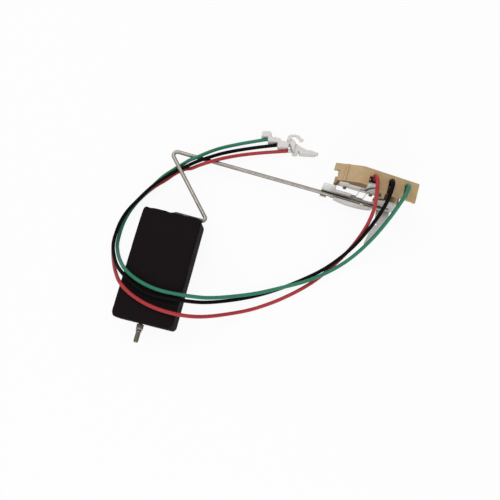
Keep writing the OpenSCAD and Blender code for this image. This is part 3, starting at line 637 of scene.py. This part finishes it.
# Materials
class Finish:
    """A Principled material whose colour, roughness and bump are built up from noise."""

    def __init__(self, name, colour, roughness, metallic=0.0, **sockets):
        self.material = bpy.data.materials.new(name)
        self.material.use_nodes = True
        self.tree = self.material.node_tree
        self.shader = self.tree.nodes["Principled BSDF"]
        self.shader.inputs["Base Color"].default_value = (*colour, 1)
        self.shader.inputs["Roughness"].default_value = roughness
        self.shader.inputs["Metallic"].default_value = metallic
        for socket, value in sockets.items():
            self.shader.inputs[socket.replace("_", " ")].default_value = value
        self.place = self.add("ShaderNodeTexCoord").outputs["Object"]
        self.colour_now = (*colour, 1)
        self.normal_now = None

    def add(self, kind, values=(), **settings):
        node = self.tree.nodes.new(kind)
        for key, value in settings.items():
            setattr(node, key, value)
        for key, value in dict(values).items():
            if isinstance(value, bpy.types.NodeSocket):
                self.tree.links.new(value, node.inputs[key])
            else:
                node.inputs[key].default_value = value
        return node

    def stretched(self, stretch):
        """Object coordinates scaled by stretch, for grain that runs one way."""
        return self.add("ShaderNodeMapping", {"Vector": self.place, "Scale": stretch}).outputs[0]

    def axes(self, vector):
        """The X, Y and Z outputs of a vector."""
        return self.add("ShaderNodeSeparateXYZ", {"Vector": vector}).outputs

    def noise(self, size, detail=3.0, rough=0.5, warp=0.0, place=None):
        """Noise whose features are about size millimetres across."""
        values = {"Vector": place or self.place, "Scale": 1 / (size * MM), "Detail": detail,
                  "Roughness": rough, "Distortion": warp}
        return self.add("ShaderNodeTexNoise", values).outputs["Fac"]

    def cells(self, size):
        """Distance from the middle of cells that are about size millimetres across."""
        values = {"Vector": self.place, "Scale": 1 / (size * MM)}
        return self.add("ShaderNodeTexVoronoi", values, feature="F1").outputs["Distance"]

    def remap(self, value, low, high, to_low=0.0, to_high=1.0):
        """The value's range from low to high brought to that from to_low to to_high, and held at its ends."""
        values = {"Value": value, "From Min": low, "From Max": high, "To Min": to_low, "To Max": to_high}
        return self.add("ShaderNodeMapRange", values).outputs[0]

    def times(self, a, b):
        return self.add("ShaderNodeMath", {0: a, 1: b}, operation="MULTIPLY").outputs[0]

    def plus(self, a, b):
        return self.add("ShaderNodeMath", {0: a, 1: b}, operation="ADD").outputs[0]

    def edges(self, radius, low=0.995, high=0.86):
        """1 on edges and 0 on flat faces, found from the rounded normal."""
        soft = self.add("ShaderNodeBevel", {"Radius": radius * MM}, samples=4).outputs[0]
        flat = self.add("ShaderNodeNewGeometry").outputs["Normal"]
        dot = self.add("ShaderNodeVectorMath", {0: soft, 1: flat}, operation="DOT_PRODUCT").outputs["Value"]
        return self.remap(dot, low, high)

    def hollows(self, reach, low, high):
        """1 deep in slots and corners and 0 on open faces, as far as things within reach close them off."""
        open_share = self.add("ShaderNodeAmbientOcclusion", {"Distance": reach * MM}, samples=8).outputs["AO"]
        return self.remap(open_share, low, high)

    def facing_front(self):
        """1 on faces that look to -Y."""
        normal = self.add("ShaderNodeNewGeometry").outputs["Normal"]
        return self.remap(self.axes(normal)["Y"], -0.6, -0.85)

    def paint(self, factor, colour):
        """Lays a colour over what is there, by factor."""
        mix = self.add("ShaderNodeMix", {"Factor": factor}, data_type="RGBA")
        if isinstance(self.colour_now, tuple):
            mix.inputs["A"].default_value = self.colour_now
        else:
            self.tree.links.new(self.colour_now, mix.inputs["A"])
        mix.inputs["B"].default_value = (*colour, 1)
        self.colour_now = mix.outputs["Result"]
        self.tree.links.new(self.colour_now, self.shader.inputs["Base Color"])

    def roughen(self, value):
        self.tree.links.new(value, self.shader.inputs["Roughness"])

    def bump(self, height, depth):
        """Bump of that depth in millimetres, on top of what is there."""
        node = self.add("ShaderNodeBump", {"Height": height, "Distance": depth * MM, "Strength": 1.0})
        if self.normal_now is not None:
            self.tree.links.new(self.normal_now, node.inputs["Normal"])
        self.normal_now = node.outputs[0]
        self.tree.links.new(self.normal_now, self.shader.inputs["Normal"])
        return self


def moulded(name, colour, dark, light, roughness, grain, hollow_shade=None, part_shade=None, **sockets):
    """Injection moulded plastic: dark flow marks, light fibres, fine grain and paler worn edges. The colour given
    for hollows is painted shade in its slots and corners, and the function given for the part paints shade that
    only it gets."""
    f = Finish(name, colour, roughness, **sockets)
    flow = f.noise(9, detail=4, rough=0.55, warp=1.2, place=f.stretched((1, 1, 0.45)))
    fibres = f.noise(0.9, detail=5, rough=0.62, warp=0.4, place=f.stretched((0.35, 1, 1)))
    grain_noise = f.noise(0.16, detail=2, rough=0.6)
    f.paint(f.remap(flow, 0.42, 0.7, 0, 0.55), dark)
    f.paint(f.remap(fibres, 0.5, 0.75, 0, 0.4), light)
    f.paint(f.times(f.edges(0.25), 0.4), light)
    # Painted shade, darkest deep in slots and corners
    if hollow_shade:
        f.paint(f.times(f.hollows(6, 0.88, 0.42), 0.95), hollow_shade)
    # Painted shade that only this part gets
    if part_shade:
        part_shade(f)
    f.roughen(f.remap(f.plus(flow, grain_noise), 0.7, 1.3, roughness - 0.08, roughness + 0.1))
    f.bump(fibres, grain * 0.8).bump(grain_noise, grain)
    return f.material


def drawn_metal(name, colour, dark, roughness, along, size):
    """Bare metal with fine lines of that size, stretched along one direction, and a faint tarnish."""
    f = Finish(name, colour, roughness, 1.0)
    lines = f.noise(size, detail=4, rough=0.6, place=f.stretched(along))
    stain = f.noise(6, detail=4, rough=0.6, warp=1.0)
    specks = f.noise(0.35, detail=2, rough=0.5)
    f.paint(f.remap(stain, 0.45, 0.75, 0, 0.5), dark)
    f.paint(f.remap(lines, 0.55, 0.8, 0, 0.35), dark)
    f.roughen(f.remap(f.plus(lines, stain), 0.6, 1.4, roughness - 0.06, roughness + 0.14))
    f.bump(lines, 0.004).bump(specks, 0.0024)
    return f.material


def steel_wire():
    """Drawn steel with spots of tarnish, a dark groove in the ferrule, a dark tip below it, painted shade in its
    crevices and a painted shadow of the foam on the stretch of wire beside it."""
    f = Finish("steel_wire", (0.30, 0.28, 0.25), 0.38, 1.0)
    lines = f.noise(0.5, detail=4, rough=0.6)
    stain = f.noise(5, detail=4, rough=0.65, warp=1.2)
    specks = f.noise(0.35, detail=2, rough=0.5)
    f.paint(f.remap(stain, 0.42, 0.7, 0, 0.6), (0.19, 0.17, 0.145))
    f.paint(f.remap(lines, 0.55, 0.8, 0, 0.35), (0.15, 0.135, 0.115))
    where = f.axes(f.place)
    past_ferrule = f.remap(where["Y"], *mm(-121.4, -122.6), 0, 0.8)
    f.paint(past_ferrule, (0.085, 0.068, 0.05))
    past_groove = f.plus(where["Y"], 121.15 * MM)
    from_groove = f.add("ShaderNodeMath", {0: past_groove}, operation="ABSOLUTE").outputs[0]
    f.paint(f.remap(from_groove, *mm(0.6, 0.3), 0, 0.8), (0.03, 0.025, 0.02))
    # Painted shade in the wire's crevices
    f.paint(f.times(f.hollows(4, 0.85, 0.4), 0.85), (0.05, 0.04, 0.03))
    # Painted shadow of the float on the stretch of wire beside it
    past_elbow = f.times(f.remap(where["Y"], *mm(-47, -47.6)), f.remap(where["X"], *mm(-103.5, -105.5)))
    above_ferrule = f.remap(where["Y"], *mm(-120.5, -119.5), 0, 0.8)
    f.paint(f.times(past_elbow, above_ferrule), (0.05, 0.045, 0.04))
    f.roughen(f.remap(f.plus(lines, stain), 0.6, 1.4, 0.3, 0.52))
    f.bump(lines, 0.004).bump(specks, 0.003)
    return f.material


def insulation(name, colour, dark, light, gloss=0.25):
    """Extruded lead insulation: satin, with darker patches, light scuffs and a fine skin."""
    f = Finish(name, colour, 0.34, Specular_IOR_Level=gloss)
    scuffs = f.noise(1.4, detail=5, rough=0.65, warp=0.8)
    patches = f.noise(11, detail=3, rough=0.5)
    skin = f.noise(0.25, detail=3, rough=0.6)
    f.paint(f.remap(patches, 0.4, 0.7, 0, 0.35), dark)
    f.paint(f.remap(scuffs, 0.58, 0.8, 0, 0.45), light)
    f.roughen(f.remap(scuffs, 0.35, 0.75, 0.28, 0.5))
    f.bump(scuffs, 0.015).bump(skin, 0.006)
    return f.material


def painted_skirt_shade(f):
    """Painted shade on the skirt under the front edge of the tray's left part, which is darker, as in the
    photograph.
    """
    where = f.axes(f.place)
    on_left = f.remap(where["X"], *mm(-12.5, -13.5))
    at_front = f.remap(where["Y"], *mm(-4.2, -4.6))
    above_foot = f.remap(where["Z"], *mm(12.5, 13.5))
    skirt = f.times(f.times(f.facing_front(), above_foot), f.times(on_left, at_front))
    # Dark brown painted shade on the skirt's front faces
    f.paint(f.times(skirt, 0.88), (0.15, 0.068, 0.027))


def shaded_front(f):
    """Painted shade on the rotor's front, which is darker than its edges and its tip."""
    behind_tip = f.remap(f.axes(f.place)["X"], *mm(-38, -35), 0, 0.66)
    # Grey painted shade on the faces that look to the front, behind the tip
    f.paint(f.times(f.facing_front(), behind_tip), (0.43, 0.40, 0.395))


def tan_nylon():
    """The filled nylon of the tray."""
    # Its hollow colour is painted shade in the tray's slots and outlets, and its own paint is the painted shade of
    # the skirt
    return moulded("tan_nylon", colour=(0.50, 0.345, 0.18), dark=(0.42, 0.28, 0.135),
                   light=(0.62, 0.46, 0.275), roughness=0.5, grain=0.02, hollow_shade=(0.06, 0.03, 0.012),
                   part_shade=painted_skirt_shade, Specular_IOR_Level=0.35)


def white_nylon():
    """The white nylon of the rotor, which lets a little light in."""
    # Its hollow colour is painted shade where the rotor's parts close in, and its own paint is the painted shade
    # on its front
    return moulded("white_nylon", colour=(0.78, 0.77, 0.735), dark=(0.67, 0.66, 0.62),
                   light=(0.85, 0.84, 0.81), roughness=0.36, grain=0.008, hollow_shade=(0.26, 0.23, 0.20),
                   part_shade=shaded_front,
                   Subsurface_Weight=0.2, Subsurface_Scale=1.2 * MM, Subsurface_Radius=(1, 0.95, 0.9))


def natural_nylon():
    """The natural nylon of the connector, which lets more light in."""
    return moulded("natural_nylon", colour=(0.72, 0.695, 0.68), dark=(0.66, 0.625, 0.605),
                   light=(0.78, 0.76, 0.75), roughness=0.42, grain=0.006,
                   Subsurface_Weight=0.25, Subsurface_Scale=1.5 * MM, Subsurface_Radius=(1, 0.9, 0.8))


def clip_nylon():
    """The natural nylon of the mounting clip, made greyer than that of the connector as a painted shade."""
    # Its hollow colour is painted shade in its slots and corners
    return moulded("clip_nylon", colour=(0.61, 0.605, 0.58), dark=(0.52, 0.51, 0.485),
                   light=(0.70, 0.70, 0.68), roughness=0.4, grain=0.01, hollow_shade=(0.24, 0.22, 0.20),
                   Subsurface_Weight=0.25, Subsurface_Scale=1.5 * MM, Subsurface_Radius=(1, 0.95, 0.9))


def spring_alloy():
    """Rolled strip of the wiper and the push nut."""
    return drawn_metal("spring_alloy", colour=(0.5, 0.46, 0.38), dark=(0.36, 0.31, 0.23), roughness=0.34,
                       along=(0.12, 1, 1), size=0.3)


def tinned_brass():
    """Tinned brass of the rivets and of the contacts in the connector."""
    return drawn_metal("tinned_brass", colour=(0.46, 0.44, 0.39), dark=(0.3, 0.28, 0.22), roughness=0.42,
                       along=(1, 1, 0.3), size=0.4)


def terminal_metal():
    """Brass of the terminals under the lead outlets, made dark as a painted shade for the slots they sit in."""
    # The dark colours are painted shade
    return drawn_metal("terminal_metal", colour=(0.1, 0.08, 0.06), dark=(0.05, 0.04, 0.03), roughness=0.5,
                       along=(1, 1, 0.3), size=0.4)


def foam():
    """Skinned closed-cell foam: fine pores, a dull sheen, and a painted highlight along its rounded edges."""
    f = Finish("foam", (0.0095, 0.0068, 0.0073), 0.85, Specular_IOR_Level=0.03)
    pores = f.remap(f.cells(0.42), 0.0, 0.5)
    big_pores = f.remap(f.cells(1.9), 0.0, 0.28)
    cloud = f.noise(7, detail=5, rough=0.6, warp=0.6)
    dust = f.noise(0.7, detail=4, rough=0.7)
    f.paint(f.remap(cloud, 0.4, 0.75, 0, 0.6), (0.013, 0.0105, 0.011))
    f.paint(f.remap(dust, 0.6, 0.8, 0, 0.35), (0.024, 0.02, 0.02))
    # Painted highlight along the rounded edges
    f.paint(f.times(f.edges(0.9, 0.998, 0.9), 0.4), (0.026, 0.021, 0.02))
    f.roughen(f.remap(cloud, 0.3, 0.7, 0.62, 0.84))
    f.bump(cloud, 0.2).bump(big_pores, 0.05).bump(pores, 0.05)
    return f.material


def ceramic():
    """Fired alumina: off-white, with very fine grain, clouds and a few darker specks."""
    f = Finish("ceramic", (0.86, 0.85, 0.82), 0.55, Subsurface_Weight=0.1, Subsurface_Scale=0.0008,
               Subsurface_Radius=(1, 0.95, 0.9))
    grain = f.noise(0.12, detail=3, rough=0.6)
    cloud = f.noise(4, detail=4, rough=0.6)
    specks = f.noise(0.45, detail=2, rough=0.5)
    f.paint(f.remap(cloud, 0.4, 0.7, 0, 0.4), (0.80, 0.78, 0.74))
    f.paint(f.remap(specks, 0.68, 0.74, 0, 0.5), (0.42, 0.38, 0.33))
    f.roughen(f.remap(grain, 0.3, 0.7, 0.48, 0.66))
    f.bump(grain, 0.008)
    return f.material


def silver_print():
    """Fired silver print: dull metal with a dry, granular skin and worn patches."""
    f = Finish("silver_print", (0.74, 0.73, 0.70), 0.5, 0.4)
    grain = f.noise(0.1, detail=4, rough=0.7)
    worn = f.noise(1.5, detail=4, rough=0.6, place=f.stretched((1, 1, 0.4)))
    f.paint(f.remap(worn, 0.45, 0.7, 0, 0.5), (0.58, 0.56, 0.5))
    f.paint(f.remap(grain, 0.55, 0.75, 0, 0.4), (0.84, 0.83, 0.80))
    f.roughen(f.remap(grain, 0.3, 0.7, 0.34, 0.55))
    f.bump(grain, 0.012)
    return f.material


def resistor_print():
    """Fired resistor print: near black, a little glossy, with fine grain."""
    f = Finish("resistor_print", (0.022, 0.021, 0.022), 0.3)
    grain = f.noise(0.14, detail=4, rough=0.65)
    cloud = f.noise(2.2, detail=4, rough=0.6)
    f.paint(f.remap(cloud, 0.4, 0.7, 0, 0.6), (0.045, 0.043, 0.044))
    f.roughen(f.remap(cloud, 0.3, 0.7, 0.24, 0.45))
    f.bump(grain, 0.01)
    return f.material


def lead_red():
    return insulation("lead_red", colour=(0.43, 0.03, 0.038), dark=(0.31, 0.018, 0.024),
                      light=(0.56, 0.1, 0.11))


def lead_black():
    return insulation("lead_black", colour=(0.005, 0.0042, 0.0042), dark=(0.0035, 0.003, 0.003),
                      light=(0.014, 0.012, 0.012), gloss=0.03)


def lead_green():
    return insulation("lead_green", colour=(0.022, 0.20, 0.115), dark=(0.014, 0.13, 0.075),
                      light=(0.07, 0.32, 0.21))


# The finish of each material slot, and of the nodes that differ from the rest of their slot
SLOT_FINISHES = {
    "tan_nylon": tan_nylon(), "white_nylon": white_nylon(), "natural_nylon": natural_nylon(),
    "steel_wire": steel_wire(), "spring_alloy": spring_alloy(), "tinned_brass": tinned_brass(),
    "foam": foam(), "ceramic": ceramic(), "silver_print": silver_print(), "resistor_print": resistor_print(),
    "lead_red": lead_red(), "lead_black": lead_black(), "lead_green": lead_green(),
}
# The clip's greyer nylon and the terminals' dark metal are painted shade
OWN_FINISHES = {"mounting_clip": clip_nylon(), "lead_terminals": terminal_metal()}

# Each piece that stands for a node, and each node that is shown, gets its own finish or that of its slot
stand_ins = {**leads, **moulded_parts, "wiper_rivets": rivet_piece, "wiper_contacts": button_piece,
             "float_arm": wire, "float_retainer": ferrule, "float": float_piece}
for node, slot in SLOTS.items():
    finish = OWN_FINISHES.get(node, SLOT_FINISHES[slot])
    if node in stand_ins:
        stand_ins[node].data.materials.append(finish)
        continue
    for place in nodes[node].material_slots:
        place.material = finish
mark_piece.data.materials.append(SLOT_FINISHES["tan_nylon"])


# Floor and background
def sees_background(tree):
    """Factor that is 1 for rays from the camera and for rays seen in gloss or through glass."""
    path = tree.nodes.new("ShaderNodeLightPath")
    total = path.outputs["Is Camera Ray"]
    for output in ("Is Glossy Ray", "Is Transmission Ray"):
        add = tree.nodes.new("ShaderNodeMath")
        add.operation = "ADD"
        add.use_clamp = True
        tree.links.new(total, add.inputs[0])
        tree.links.new(path.outputs[output], add.inputs[1])
        total = add.outputs[0]
    return total


def mixed(tree, factor, first, second, output_kind):
    """Sends the mix of two shaders to the tree's output: the first at factor 0 and the second at 1."""
    mix = tree.nodes.new("ShaderNodeMixShader")
    tree.links.new(factor, mix.inputs[0])
    tree.links.new(first.outputs[0], mix.inputs[1])
    tree.links.new(second.outputs[0], mix.inputs[2])
    tree.links.new(mix.outputs[0], tree.nodes.new(output_kind).inputs[0])


FLOOR_HALF = 3
FLOOR_GREY = 0.9
FLOOR_GLOW_SHARE = 0.92
AMBIENT = 0.55


def floor_finish():
    """Pale paint that takes shadows, nearly all of it hidden by a plain white where the camera sees it."""
    material = bpy.data.materials.new("floor")
    material.use_nodes = True
    tree = material.node_tree
    tree.nodes.clear()
    paint = tree.nodes.new("ShaderNodeBsdfDiffuse")
    paint.inputs["Color"].default_value = (FLOOR_GREY, FLOOR_GREY, FLOOR_GREY, 1)
    glow = tree.nodes.new("ShaderNodeEmission")
    glow.inputs["Strength"].default_value = 1
    share = tree.nodes.new("ShaderNodeMath")
    share.operation = "MULTIPLY"
    share.inputs[1].default_value = FLOOR_GLOW_SHARE
    tree.links.new(sees_background(tree), share.inputs[0])
    mixed(tree, share.outputs[0], paint, glow, "ShaderNodeOutputMaterial")
    return material


def studio():
    """A white world: soft light on the object, and plain white behind it."""
    world = bpy.data.worlds.new("studio")
    world.use_nodes = True
    tree = world.node_tree
    tree.nodes.clear()
    backgrounds = []
    for strength in (AMBIENT, 1):
        background = tree.nodes.new("ShaderNodeBackground")
        background.inputs["Color"].default_value = (1, 1, 1, 1)
        background.inputs["Strength"].default_value = strength
        backgrounds.append(background)
    mixed(tree, sees_background(tree), *backgrounds, "ShaderNodeOutputWorld")
    return world


floor_corners = [(x * FLOOR_HALF, y * FLOOR_HALF, 0) for x, y in ((-1, -1), (1, -1), (1, 1), (-1, 1))]
floor = add_object("floor", floor_corners, [(0, 1, 2, 3)], smooth=False)
floor.data.materials.append(floor_finish())
bpy.context.scene.world = studio()


# Light. Places and sizes of the lamps are in metres.
OBJECT_MIDDLE = mm(-75, -50, 10)


def lamp(name, place, size, watts):
    """Square lamp of that size, aimed at the object."""
    data = bpy.data.lights.new(name, "AREA")
    data.shape = "SQUARE"
    data.size = size
    data.energy = watts
    aim(new_object(name, data), place, OBJECT_MIDDLE)


lamp("key", place=(-0.5, 0.35, 0.9), size=0.6, watts=3.2)
lamp("fill", place=(0.05, -0.85, 0.45), size=0.7, watts=3)

bpy.context.scene.view_settings.view_transform = "Standard"
